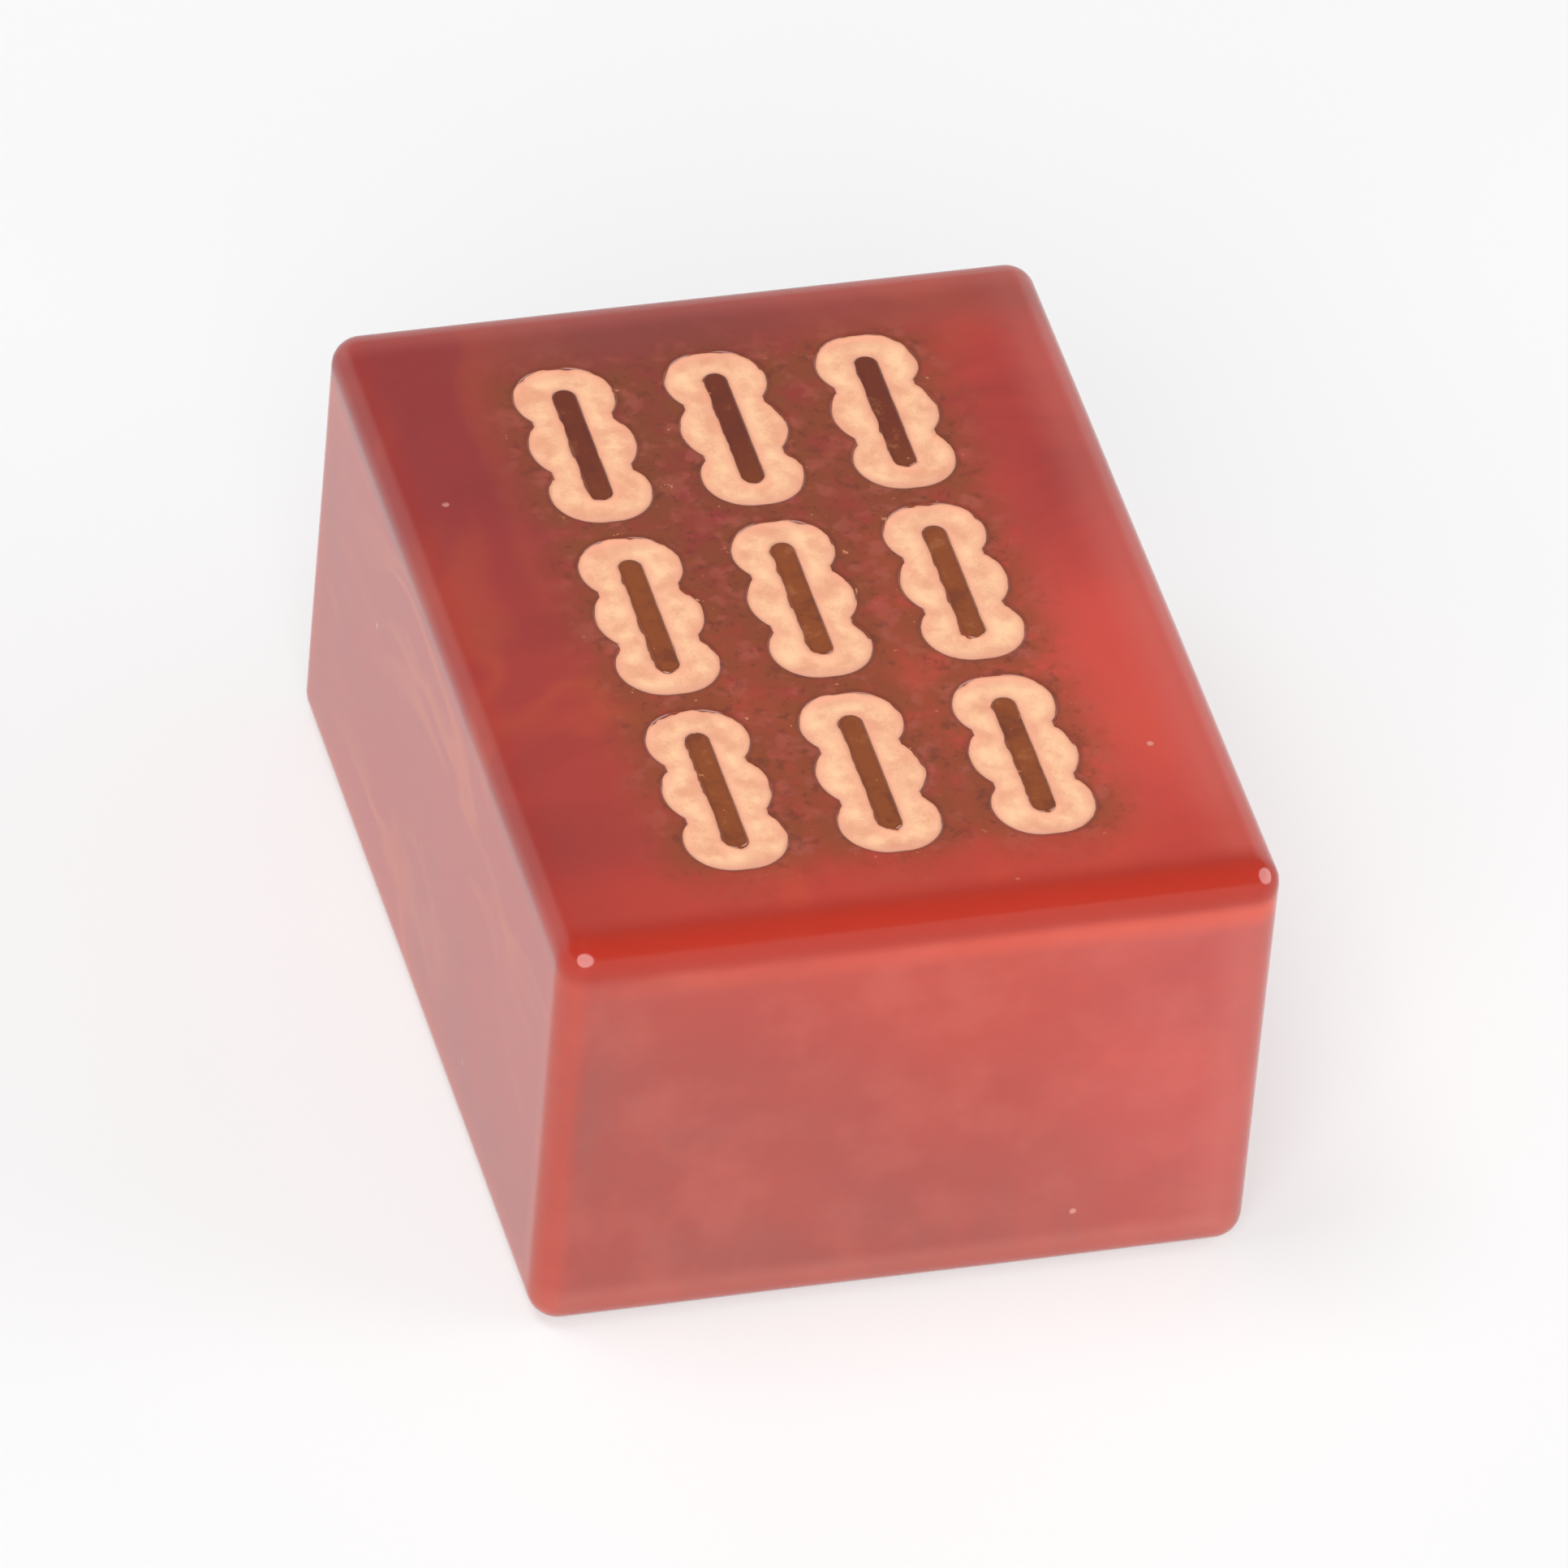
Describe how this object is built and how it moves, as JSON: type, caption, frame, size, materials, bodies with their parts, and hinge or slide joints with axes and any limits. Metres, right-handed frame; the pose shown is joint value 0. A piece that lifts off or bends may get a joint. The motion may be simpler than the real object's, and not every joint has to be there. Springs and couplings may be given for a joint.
{
  "type": "mahjong tile",
  "caption": "Mahjong tile: a polished resin block with rounded edges, its face engraved with bamboo sticks that are filled with gold paint.",
  "frame": {"origin": "centre of the plain back, on the plane the tile lies on", "axes": "+Z out of the engraved face; +Y along the sticks, away from the viewer in the picture; +X across the columns of sticks"},
  "size_m": [0.03, 0.04, 0.02],
  "materials": {
    "resin": "polished cast resin, clouded red like agate",
    "gold_paint": "pale warm gold paint, satin"
  },
  "bodies": {
    "root": {"tile_body": "resin", "bamboo_fill_front_left": "gold_paint", "bamboo_fill_front_centre": "gold_paint", "bamboo_fill_front_right": "gold_paint", "bamboo_fill_middle_left": "gold_paint", "bamboo_fill_middle_centre": "gold_paint", "bamboo_fill_middle_right": "gold_paint", "bamboo_fill_back_left": "gold_paint", "bamboo_fill_back_centre": "gold_paint", "bamboo_fill_back_right": "gold_paint"}
  },
  "joints": []
}
